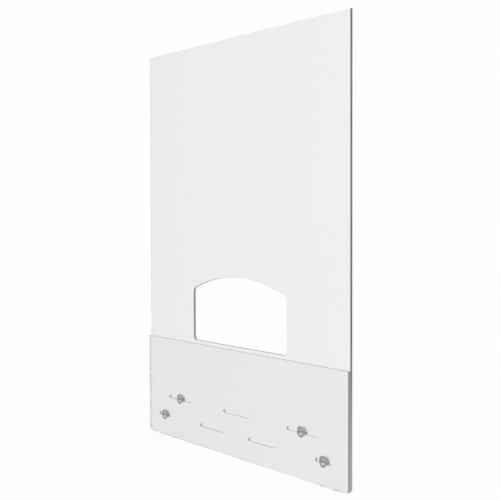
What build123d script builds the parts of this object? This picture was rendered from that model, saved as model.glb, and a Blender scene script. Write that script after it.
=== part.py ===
"""Desk privacy panel: a tall clear acrylic screen with an arched pass-through, and a clear front
plate over its foot. Four screws go through holes in the screen and slots in the plate, so the
plate can slide sideways on the screen before the nuts are tightened.

Millimetres. X runs along the width, with +X to the right for someone who faces the front plate.
Y runs through the thickness, with the front plate on the -Y side. Z is up. The origin is the
middle of the screen's bottom edge, halfway through the screen's thickness.
"""

import os
from math import radians, sqrt, tan

from build123d import *

# Sheets
panel_width = 812.8  # 32 in
panel_height = 990.6  # 39 in
plate_height = 254.0  # 10 in
sheet_thickness = 5.6  # nominal 1/4 in acrylic
air_film = 0.2  # the sheets lie against each other and aren't bonded
corner_radius = 12.7
plate_top_corner_radius = 4.0
edge_break = 0.4  # polished outer and window edges
slot_edge_break = 0.25

# Pass-through window in the screen
window_width = 384.2
window_sill = 262.5
window_springing = 391.5  # where the straight sides meet the arched head
window_crown = 427.0
window_corner_radius = 11.0

# Horizontal slots in the plate, and the screen's round holes behind four of them
slot_width = 7.14  # 9/32 in, for a 1/4 in screw
screw_hole_radius = slot_width / 2
long_slot_length = 104.8
short_slot_length = 57.15
upper_row = 104.8  # heights of the slots' centre lines
lower_row = 54.0
spare_slot_offset = 103.2
upper_fastener_offset = 250.8
lower_fastener_offset = 327.0

# Truss-head machine screw, 1/4-20 x 7/8 in, with a cross recess
thread_radius = 3.175
thread_root_radius = 2.62
thread_pitch = 1.27
screw_length = 22.2
tip_chamfer = 0.6
head_radius = 7.3
head_height = 3.5
head_rim_height = 0.55
recess_depth = 2.9
recess_span = 6.6
recess_wing_width = 1.9
recess_floor_span = 2.8
recess_floor_wing_width = 1.3

# Washers and pads
front_washer_radius = 12.7  # 1 in fender washer
front_washer_bore_radius = 3.57
front_washer_thickness = 1.3
front_pad_radius = 11.5
front_pad_bore_radius = 3.4
front_pad_thickness = 0.8
rear_pad_radius = 9.5
rear_pad_bore_radius = 3.5
rear_pad_thickness = 1.0
washer_edge_radius = 0.3
pad_edge_radius = 0.2

# Hex nut, 1/4-20
nut_across_flats = 11.11
nut_height = 5.56
nut_corner_chamfer = 0.75
nut_chamfer_angle = 30
nut_bore_radius = thread_radius + 0.05
nut_bore_chamfer = 0.5

# Places through the thickness, from the front of the plate to the back of the screen
panel_front = -sheet_thickness / 2
plate_rear = panel_front - air_film
plate_front = plate_rear - sheet_thickness
clamped_thickness = sheet_thickness / 2 - plate_front

fasteners = {
    "upper_left": (-upper_fastener_offset, upper_row),
    "upper_right": (upper_fastener_offset, upper_row),
    "lower_left": (-lower_fastener_offset, lower_row),
    "lower_right": (lower_fastener_offset, lower_row),
}


def save(part, name):
    """Label a finished piece and write its STEP file."""
    part.label = name
    export_step(part, f"parts/{name}.step")


def window_outline():
    """The pass-through: a straight sill and sides under a shallow arched head."""
    half = window_width / 2
    with BuildSketch() as window:
        with BuildLine():
            Line((-half, window_springing), (-half, window_sill))
            Line((-half, window_sill), (half, window_sill))
            Line((half, window_sill), (half, window_springing))
            ThreePointArc((half, window_springing), (0, window_crown), (-half, window_springing))
        make_face()
        fillet(window.vertices(), window_corner_radius)
    return window.sketch


def screen_openings():
    """The pass-through, and a clearance hole for each screw."""
    with BuildSketch() as openings:
        add(window_outline())
        with Locations(*fasteners.values()):
            Circle(screw_hole_radius)
    return openings.sketch


def plate_slots():
    """The plate's seven slots: three spare ones, and one for each screw."""
    long_slots = [(0, upper_row), fasteners["upper_left"], fasteners["upper_right"]]
    long_slots += [(-spare_slot_offset, lower_row), (spare_slot_offset, lower_row)]
    short_slots = [fasteners["lower_left"], fasteners["lower_right"]]
    with BuildSketch() as slots:
        with Locations(*long_slots):
            SlotOverall(long_slot_length, slot_width)
        with Locations(*short_slots):
            SlotOverall(short_slot_length, slot_width)
    return slots.sketch


def is_in_a_row(edge):
    """True for an edge that runs round one of the slots or screw holes."""
    box = edge.bounding_box()
    return any(
        row - slot_width < box.min.Z and box.max.Z < row + slot_width
        for row in (upper_row, lower_row)
    )


def make_sheet(name, rear, height, top_radius, openings):
    """One upright sheet whose rear face is at Y = rear, with eased edges on both faces."""
    with BuildPart() as sheet:
        with BuildSketch(Plane.XZ.offset(-rear)) as outline:
            with Locations((0, height / 2)):
                Rectangle(panel_width, height)
            corner_rows = outline.vertices().group_by(Axis.Y)
            fillet(corner_rows[0], corner_radius)
            fillet(corner_rows[-1], top_radius)
            add(openings, mode=Mode.SUBTRACT)
        extrude(amount=sheet_thickness)
        layers = sheet.edges().group_by(Axis.Y)
        rims = layers[0] + layers[-1]
        small_rims = rims.filter_by(is_in_a_row)
        chamfer(rims.filter_by(lambda edge: not is_in_a_row(edge)), edge_break)
        chamfer(small_rims, slot_edge_break)
    save(sheet.part, name)


def make_ring(name, plane, outer_radius, bore_radius, thickness, edge_radius):
    """A washer or pad that lies on the plane and grows along its normal."""
    with BuildPart() as ring:
        with BuildSketch(plane):
            Circle(outer_radius)
            Circle(bore_radius, mode=Mode.SUBTRACT)
        extrude(amount=thickness)
        outer_rims = ring.edges().filter_by(GeomType.CIRCLE).group_by(SortBy.RADIUS)[-1]
        fillet(outer_rims, edge_radius)
    save(ring.part, name)


def cross(span, wing_width):
    """Outline of a cross recess: two crossed wings with rounded ends."""
    with BuildSketch() as outline:
        SlotOverall(span, wing_width)
        SlotOverall(span, wing_width, rotation=90)
    return outline.sketch


def make_screw(name, axis_plane, head_seat):
    """A truss-head screw. Its head rests at head_seat along the plane's normal."""
    head_top = head_seat - head_height
    tip = head_seat + screw_length
    crest = thread_pitch / 8
    flank = (thread_pitch - 2 * crest) / 2
    turns = int((screw_length - tip_chamfer) / thread_pitch)
    thread = [(thread_radius, head_seat)]
    for turn in range(turns):
        start = tip - tip_chamfer - (turns - turn) * thread_pitch
        thread += [
            (thread_radius, start),
            (thread_root_radius, start + flank),
            (thread_root_radius, start + flank + crest),
            (thread_radius, start + 2 * flank + crest),
        ]
    thread += [(thread_radius, tip - tip_chamfer), (thread_radius - tip_chamfer, tip), (0, tip)]
    radial_plane = Plane(axis_plane.origin, x_dir=axis_plane.x_dir, z_dir=-axis_plane.y_dir)
    with BuildPart() as screw:
        with BuildSketch(radial_plane):
            with BuildLine():
                TangentArc((0, head_top), (head_radius, head_seat - head_rim_height), tangent=(1, 0))
                Line((head_radius, head_seat - head_rim_height), (head_radius, head_seat))
                Polyline((head_radius, head_seat), *thread)
                Line((0, tip), (0, head_top))
            make_face()
        revolve(axis=Axis(axis_plane.origin, axis_plane.z_dir))
        with BuildSketch(axis_plane.offset(head_top)):
            add(cross(recess_span, recess_wing_width))
        with BuildSketch(axis_plane.offset(head_top + recess_depth)):
            add(cross(recess_floor_span, recess_floor_wing_width))
        loft(mode=Mode.SUBTRACT)
    save(screw.part, name)


def make_nut(name, axis_plane, seat):
    """A hex nut whose front face is at seat, with chamfered corners and bore."""
    hex_corner = nut_across_flats / sqrt(3)
    face_radius = hex_corner - nut_corner_chamfer
    chamfer_height = nut_corner_chamfer * tan(radians(nut_chamfer_angle))
    rear = seat + nut_height
    radial_plane = Plane(axis_plane.origin, x_dir=axis_plane.x_dir, z_dir=-axis_plane.y_dir)
    with BuildPart() as nut:
        with BuildSketch(axis_plane.offset(seat)):
            RegularPolygon(nut_across_flats / 2, 6, major_radius=False)
        extrude(amount=nut_height)
        with BuildSketch(radial_plane):
            with BuildLine():
                Polyline(
                    (0, seat),
                    (face_radius, seat),
                    (hex_corner, seat + chamfer_height),
                    (hex_corner, rear - chamfer_height),
                    (face_radius, rear),
                    (0, rear),
                    close=True,
                )
            make_face()
        revolve(axis=Axis(axis_plane.origin, axis_plane.z_dir), mode=Mode.INTERSECT)
        with BuildSketch(axis_plane.offset(seat)):
            Circle(nut_bore_radius)
        extrude(amount=nut_height, mode=Mode.SUBTRACT)
        bore_rims = nut.edges().filter_by(GeomType.CIRCLE).group_by(SortBy.RADIUS)[0]
        chamfer(bore_rims, nut_bore_chamfer)
    save(nut.part, name)


def make_fastener(place, x, z):
    """One clamping set, on an axis that runs from the front of the plate to the rear."""
    axis_plane = Plane((x, plate_front, z), x_dir=(1, 0, 0), z_dir=(0, 1, 0))
    washer_front = -front_pad_thickness - front_washer_thickness
    make_screw(f"{place}_screw", axis_plane, washer_front)
    make_ring(
        f"{place}_front_washer",
        axis_plane.offset(washer_front),
        front_washer_radius,
        front_washer_bore_radius,
        front_washer_thickness,
        washer_edge_radius,
    )
    make_ring(
        f"{place}_front_pad",
        axis_plane.offset(-front_pad_thickness),
        front_pad_radius,
        front_pad_bore_radius,
        front_pad_thickness,
        pad_edge_radius,
    )
    make_ring(
        f"{place}_rear_pad",
        axis_plane.offset(clamped_thickness),
        rear_pad_radius,
        rear_pad_bore_radius,
        rear_pad_thickness,
        pad_edge_radius,
    )
    make_nut(f"{place}_nut", axis_plane, clamped_thickness + rear_pad_thickness)


os.makedirs("parts", exist_ok=True)
make_sheet("main_panel", sheet_thickness / 2, panel_height, corner_radius, screen_openings())
make_sheet("front_plate", plate_rear, plate_height, plate_top_corner_radius, plate_slots())
for place, (x, z) in fasteners.items():
    make_fastener(place, x, z)
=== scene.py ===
"""Looks for the desk privacy panel: clear acrylic sheets with polished edges, bright screws and
nuts, and stamped steel washers, in a plain pale studio.

Metres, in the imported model's frame: X along the width, the front plate on the -Y side, Z up.
"""

import math

import bpy
from mathutils import Matrix, Vector


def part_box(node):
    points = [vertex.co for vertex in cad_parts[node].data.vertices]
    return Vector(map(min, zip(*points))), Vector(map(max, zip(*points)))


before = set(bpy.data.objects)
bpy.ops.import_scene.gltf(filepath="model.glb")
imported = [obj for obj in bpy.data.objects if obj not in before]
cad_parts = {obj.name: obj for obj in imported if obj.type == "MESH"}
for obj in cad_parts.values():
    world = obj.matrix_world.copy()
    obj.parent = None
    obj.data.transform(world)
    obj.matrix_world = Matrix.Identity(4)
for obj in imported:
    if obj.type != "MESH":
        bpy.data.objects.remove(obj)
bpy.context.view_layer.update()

# Camera: to the right of the front, at a little over half of the screen's height, tipped down
CAMERA_FROM_ORIGIN = Vector((2.0214, -1.3929, 0.5718))
CAMERA_AZIMUTH = math.radians(54.779)
CAMERA_TIPPED = math.radians(1.87)
CAMERA_ROLL = math.radians(-0.165)
CAMERA_LENS = 75.15  # mm
SENSOR_WIDTH = 36.0  # mm
CAMERA_REACH = 100.0  # beyond the floor's far edge

# Studio
FLOOR_SIZE = 60.0
FLOOR_ALBEDO = 0.9
FLOOR_GRAIN = 0.004  # how far the floor's albedo wanders
FLOOR_NOISE = 400.0
BACKDROP_LEVEL = 0.991
DIFFUSE_LEVEL = 1.1  # lights the floor to the backdrop's level
MIRRORED_DARK = 0.42  # what the surfaces mirror at eye height
MIRRORED_LIGHT = 1.0  # and from above and below
MIRRORED_BELT = (0.4, 0.66)  # where the belt starts to fade and ends, in the direction's height
SHEET_BOUNCES = 96  # light mirrors its way along between a sheet's broad faces
SHEET_PASSES = 48

# Acrylic
ACRYLIC_IOR = 1.49
TINT_CLOUD = 0.3  # how far the tint wanders from its even run across the sheet
TINT_NOISE = 4.0
SMUDGE_NOISE = 9.0
STREAK_NOISE = 6.0
STREAK_STRETCH = (1, 60, 1)  # streaks lie along a cut edge
SHEET_ROUGHNESS = (0.004, 0.03)
EDGE_ROUGHNESS = (0.08, 0.2)
EDGE_DEPTH = 0.0045  # outer cut faces lie within this of the outline, even round a corner
FOOT_HEIGHT = 0.33  # below this the upright edges' painted shade changes from side to foot
FACE_NORMAL_Y = 0.9  # a sheet's broad faces look along Y, its cut edges don't

# Metal and nylon
METAL_PATCHES = 160.0
METAL_GRAIN = 900.0
GRAIN_BUMP = 0.00002
NYLON_NOISE = 220.0
NYLON_IOR = 1.53
NYLON_CLEARNESS = 0.7
NYLON_TINT = ((0.86, 0.86, 0.84), (0.93, 0.93, 0.92))
NYLON_ROUGHNESS = (0.28, 0.42)


def node(tree, kind, **values):
    """A new shader node, with its plain sockets or settings given by name."""
    made = tree.nodes.new(kind)
    for key, value in values.items():
        if key in made.inputs:
            made.inputs[key].default_value = value
        else:
            setattr(made, key, value)
    return made


def new_material(name):
    """An empty material: its node tree and its output node."""
    material = bpy.data.materials.new(name)
    material.use_nodes = True
    tree = material.node_tree
    tree.nodes.clear()
    return material, tree, tree.nodes.new("ShaderNodeOutputMaterial")


def object_coordinates(tree):
    """The object's own coordinates, in metres."""
    return tree.nodes.new("ShaderNodeTexCoord").outputs["Object"]


def noise(tree, vector, scale, detail=3.0, stretch=(1, 1, 1)):
    """Noise over the given coordinates, stretched per axis."""
    mapping = tree.nodes.new("ShaderNodeMapping")
    mapping.inputs["Scale"].default_value = stretch
    tree.links.new(vector, mapping.inputs["Vector"])
    made = node(tree, "ShaderNodeTexNoise", Scale=scale, Detail=detail, Roughness=0.5)
    tree.links.new(mapping.outputs["Vector"], made.inputs["Vector"])
    return made.outputs["Fac"]


def ramp(tree, factor, low, high, start=0.3, end=0.7):
    """Two colours or levels, blended as factor goes from start to end."""
    made = tree.nodes.new("ShaderNodeValToRGB")
    made.color_ramp.elements[0].position = start
    made.color_ramp.elements[1].position = end
    for element, value in zip(made.color_ramp.elements, (low, high)):
        rgb = value if isinstance(value, tuple) else (value, value, value)
        element.color = (*rgb, 1.0)
    tree.links.new(factor, made.inputs["Fac"])
    return made.outputs["Color"]


def bump(tree, height, strength):
    """A normal that follows the height, for a fine surface grain."""
    made = node(tree, "ShaderNodeBump", Strength=strength, Distance=GRAIN_BUMP)
    tree.links.new(height, made.inputs["Height"])
    return made.outputs["Normal"]


def maths(tree, operation, *operands, clamp=False):
    """A Math node's output. Each operand is a number or another node's output."""
    made = node(tree, "ShaderNodeMath", operation=operation, use_clamp=clamp)
    for socket, value in zip(made.inputs, operands):
        if isinstance(value, (int, float)):
            socket.default_value = value
        else:
            tree.links.new(value, socket)
    return made.outputs[0]


def blend(tree, factor, low, high):
    """Mixes two colour outputs, through the Mix node's colour sockets."""
    made = node(tree, "ShaderNodeMix", data_type="RGBA")
    for source, socket in ((factor, 0), (low, 6), (high, 7)):
        tree.links.new(source, made.inputs[socket])
    return made.outputs[2]


def acrylic(name, box, tint, side, foot_painted_shade, top_painted_shade, bottom, wall_painted_shade, inner_painted_shade):
    """Clear cast acrylic. Its broad faces are clear. Its edge faces get painted light and shade:
    an opaque grey base colour in place of how the polished clear edges look by light.

    Each painted level is a pair of greys: side for the upright edges, foot for their bottom ends,
    top and bottom for the level edges, and wall for the openings. inner is how much of an upright
    edge's painted grey shows from inside the sheet.
    """
    material, tree, output = new_material(name)
    links = tree.links
    coordinates = object_coordinates(tree)
    place = node(tree, "ShaderNodeSeparateXYZ")
    links.new(coordinates, place.inputs[0])
    low, high = box

    clear = node(tree, "ShaderNodeBsdfPrincipled", IOR=ACRYLIC_IOR)
    clear.inputs["Transmission Weight"].default_value = 1.0
    across = maths(tree, "MULTIPLY_ADD", place.outputs["X"], 1 / (high.x - low.x), 0.5)
    patches = noise(tree, coordinates, TINT_NOISE)
    cloud = maths(tree, "MULTIPLY_ADD", patches, TINT_CLOUD, -TINT_CLOUD / 2)
    shade = ramp(tree, maths(tree, "ADD", across, cloud), *tint, start=0.0, end=1.0)
    links.new(shade, clear.inputs["Base Color"])
    smudges = noise(tree, coordinates, SMUDGE_NOISE, detail=5.0)
    links.new(ramp(tree, smudges, *SHEET_ROUGHNESS), clear.inputs["Roughness"])

    # Painted light and shade on the edge faces: an opaque grey base colour for each edge
    # (upright, foot, level, opening), varied along the streaks, in place of how polished clear
    # edges look by light.
    streaks = noise(tree, coordinates, STREAK_NOISE, detail=6.0, stretch=STREAK_STRETCH)
    x_reach = maths(tree, "ABSOLUTE", place.outputs["X"])
    is_side = maths(tree, "GREATER_THAN", x_reach, high.x - EDGE_DEPTH)
    is_top = maths(tree, "GREATER_THAN", place.outputs["Z"], high.z - EDGE_DEPTH)
    is_bottom = maths(tree, "LESS_THAN", place.outputs["Z"], low.z + EDGE_DEPTH)
    raised = maths(tree, "MULTIPLY", place.outputs["Z"], 1 / FOOT_HEIGHT, clamp=True)
    upright = blend(tree, raised, ramp(tree, streaks, *foot_painted_shade), ramp(tree, streaks, *side))
    painted_edge_shade = blend(tree, is_top, ramp(tree, streaks, *wall_painted_shade), ramp(tree, streaks, *top_painted_shade))
    painted_edge_shade = blend(tree, is_bottom, painted_edge_shade, ramp(tree, streaks, *bottom))
    painted_edge_shade = blend(tree, is_side, painted_edge_shade, upright)
    edge = node(tree, "ShaderNodeBsdfPrincipled", IOR=ACRYLIC_IOR)
    links.new(painted_edge_shade, edge.inputs["Base Color"])
    links.new(ramp(tree, streaks, *EDGE_ROUGHNESS), edge.inputs["Roughness"])

    # The painted grey shows on edge faces seen from outside, and a share of it on upright edges
    # seen from inside.
    inside = tree.nodes.new("ShaderNodeNewGeometry").outputs["Backfacing"]
    normal = tree.nodes.new("ShaderNodeTexCoord").outputs["Normal"]
    split = tree.nodes.new("ShaderNodeSeparateXYZ")
    links.new(normal, split.inputs["Vector"])
    is_edge = maths(tree, "LESS_THAN", maths(tree, "ABSOLUTE", split.outputs["Y"]), FACE_NORMAL_Y)
    seen_within = maths(tree, "MULTIPLY", maths(tree, "MULTIPLY", inside, is_side), inner_painted_shade)
    seen = maths(tree, "ADD", maths(tree, "SUBTRACT", 1.0, inside), seen_within)
    mix = tree.nodes.new("ShaderNodeMixShader")
    links.new(maths(tree, "MULTIPLY", is_edge, seen), mix.inputs["Fac"])
    links.new(clear.outputs[0], mix.inputs[1])
    links.new(edge.outputs[0], mix.inputs[2])
    links.new(mix.outputs[0], output.inputs["Surface"])
    return material


def metal(name, dark, light, roughness):
    """Plated or stamped steel with a fine grain."""
    material, tree, output = new_material(name)
    links = tree.links
    coordinates = object_coordinates(tree)
    body = node(tree, "ShaderNodeBsdfPrincipled", Metallic=1.0)
    patches = noise(tree, coordinates, METAL_PATCHES, detail=4.0)
    grain = noise(tree, coordinates, METAL_GRAIN, detail=4.0)
    links.new(ramp(tree, patches, dark, light), body.inputs["Base Color"])
    links.new(ramp(tree, grain, *roughness), body.inputs["Roughness"])
    links.new(bump(tree, grain, 0.3), body.inputs["Normal"])
    links.new(body.outputs[0], output.inputs["Surface"])
    return material


def nylon(name):
    """Natural translucent nylon."""
    material, tree, output = new_material(name)
    links = tree.links
    coordinates = object_coordinates(tree)
    body = node(tree, "ShaderNodeBsdfPrincipled", IOR=NYLON_IOR)
    body.inputs["Transmission Weight"].default_value = NYLON_CLEARNESS
    cloud = noise(tree, coordinates, NYLON_NOISE, detail=4.0)
    links.new(ramp(tree, cloud, *NYLON_TINT), body.inputs["Base Color"])
    links.new(ramp(tree, cloud, *NYLON_ROUGHNESS), body.inputs["Roughness"])
    links.new(bump(tree, cloud, 0.2), body.inputs["Normal"])
    links.new(body.outputs[0], output.inputs["Surface"])
    return material


def dress(node_name, material):
    """Gives a CAD node its finish."""
    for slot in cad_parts[node_name].material_slots:
        slot.material = material


def dress_all():
    """Finishes every CAD node by what it is."""
    finishes = {
        "screw": metal("bright_zinc", (0.68, 0.68, 0.69), (0.8, 0.8, 0.8), (0.14, 0.26)),
        "nut": metal("nut_zinc", (0.88, 0.88, 0.89), (0.97, 0.97, 0.97), (0.22, 0.38)),
        "front_washer": metal("washer_steel", (0.66, 0.66, 0.67), (0.8, 0.8, 0.8), (0.22, 0.36)),
        "front_pad": nylon("front_nylon"),
        "rear_pad": nylon("rear_nylon"),
    }
    # The side, foot, top, bottom, wall and inner levels are painted light and shade for the
    # polished edges, by which way each edge faces.
    sheets = {
        "main_panel": acrylic(
            "screen_acrylic",
            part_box("main_panel"),
            tint=((0.88, 0.885, 0.872), (0.908, 0.908, 0.898)),
            side=(0.14, 0.2),
            foot_painted_shade=(0.34, 0.42),
            top_painted_shade=(0.8, 0.9),
            bottom=(0.85, 0.95),
            wall_painted_shade=(0.2, 0.28),
            inner_painted_shade=0.08,
        ),
        "front_plate": acrylic(
            "plate_acrylic",
            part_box("front_plate"),
            tint=((0.938, 0.94, 0.934), (0.938, 0.938, 0.932)),
            side=(0.22, 0.3),
            foot_painted_shade=(0.22, 0.3),
            top_painted_shade=(0.3, 0.38),
            bottom=(0.85, 0.95),
            wall_painted_shade=(0.32, 0.4),
            inner_painted_shade=0.35,
        ),
    }
    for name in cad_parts:
        if name in sheets:
            dress(name, sheets[name])
            continue
        ending = next(e for e in finishes if name.endswith(e))
        dress(name, finishes[ending])
    for name in sheets:
        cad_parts[name].visible_shadow = False
        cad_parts[name].visible_diffuse = False


def make_floor():
    """A plain pale floor under the screen's bottom edge."""
    half = FLOOR_SIZE / 2
    mesh = bpy.data.meshes.new("floor")
    corners = [(-half, -half, 0), (half, -half, 0), (half, half, 0), (-half, half, 0)]
    mesh.from_pydata(corners, [], [(0, 1, 2, 3)])
    floor = bpy.data.objects.new("floor", mesh)
    floor.location.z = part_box("main_panel")[0].z
    bpy.context.scene.collection.objects.link(floor)
    material, tree, output = new_material("pale_floor")
    body = node(tree, "ShaderNodeBsdfPrincipled", Roughness=1.0)
    body.inputs["Specular IOR Level"].default_value = 0.0
    grain = noise(tree, object_coordinates(tree), FLOOR_NOISE)
    shade = ramp(tree, grain, FLOOR_ALBEDO - FLOOR_GRAIN, FLOOR_ALBEDO + FLOOR_GRAIN)
    tree.links.new(shade, body.inputs["Base Color"])
    tree.links.new(body.outputs[0], output.inputs["Surface"])
    mesh.materials.append(material)
    floor.visible_glossy = False


def make_studio():
    """Even white light all round. What the surfaces mirror has a darker belt at eye height."""
    world = bpy.data.worlds.new("studio")
    bpy.context.scene.world = world
    world.use_nodes = True
    world.cycles.sampling_method = "NONE"
    tree = world.node_tree
    tree.nodes.clear()
    links = tree.links
    direction = tree.nodes.new("ShaderNodeTexCoord").outputs["Generated"]
    split = tree.nodes.new("ShaderNodeSeparateXYZ")
    links.new(direction, split.inputs["Vector"])
    height = maths(tree, "ABSOLUTE", split.outputs["Z"])
    start, end = MIRRORED_BELT
    mirrored = ramp(tree, height, MIRRORED_DARK, MIRRORED_LIGHT, start=start, end=end)
    paths = tree.nodes.new("ShaderNodeLightPath")

    def background(strength, colour=None):
        made = node(tree, "ShaderNodeBackground", Strength=strength)
        made.inputs["Color"].default_value = (1, 1, 1, 1)
        if colour:
            links.new(colour, made.inputs["Color"])
        return made.outputs[0]

    def choose(condition, no, yes):
        made = tree.nodes.new("ShaderNodeMixShader")
        links.new(condition, made.inputs["Fac"])
        links.new(no, made.inputs[1])
        links.new(yes, made.inputs[2])
        return made.outputs[0]

    plain = background(BACKDROP_LEVEL)
    lit = choose(paths.outputs["Is Diffuse Ray"], plain, background(DIFFUSE_LEVEL))
    passed = paths.outputs["Is Transmission Ray"]
    is_mirrored = maths(tree, "SUBTRACT", paths.outputs["Is Glossy Ray"], passed, clamp=True)
    seen = choose(is_mirrored, lit, background(1.0, mirrored))
    output = tree.nodes.new("ShaderNodeOutputWorld")
    links.new(seen, output.inputs["Surface"])


def make_camera():
    """The photograph's viewing angle."""
    data = bpy.data.cameras.new("camera")
    data.lens = CAMERA_LENS
    data.sensor_width = SENSOR_WIDTH
    data.clip_end = CAMERA_REACH
    camera = bpy.data.objects.new("camera", data)
    camera.location = CAMERA_FROM_ORIGIN
    turn = Matrix.Rotation(CAMERA_AZIMUTH, 3, "Z")
    tip = Matrix.Rotation(math.radians(90) - CAMERA_TIPPED, 3, "X")
    camera.rotation_euler = (turn @ tip @ Matrix.Rotation(CAMERA_ROLL, 3, "Z")).to_euler()
    bpy.context.scene.collection.objects.link(camera)
    bpy.context.scene.camera = camera


def let_light_run_inside_the_sheets():
    """Enough bounces for light that mirrors its way along between a sheet's broad faces."""
    cycles = bpy.context.scene.cycles
    cycles.max_bounces = SHEET_BOUNCES
    cycles.glossy_bounces = SHEET_BOUNCES
    cycles.transmission_bounces = SHEET_PASSES


make_camera()
make_studio()
make_floor()
dress_all()
bpy.context.scene.view_settings.view_transform = "Standard"
let_light_run_inside_the_sheets()
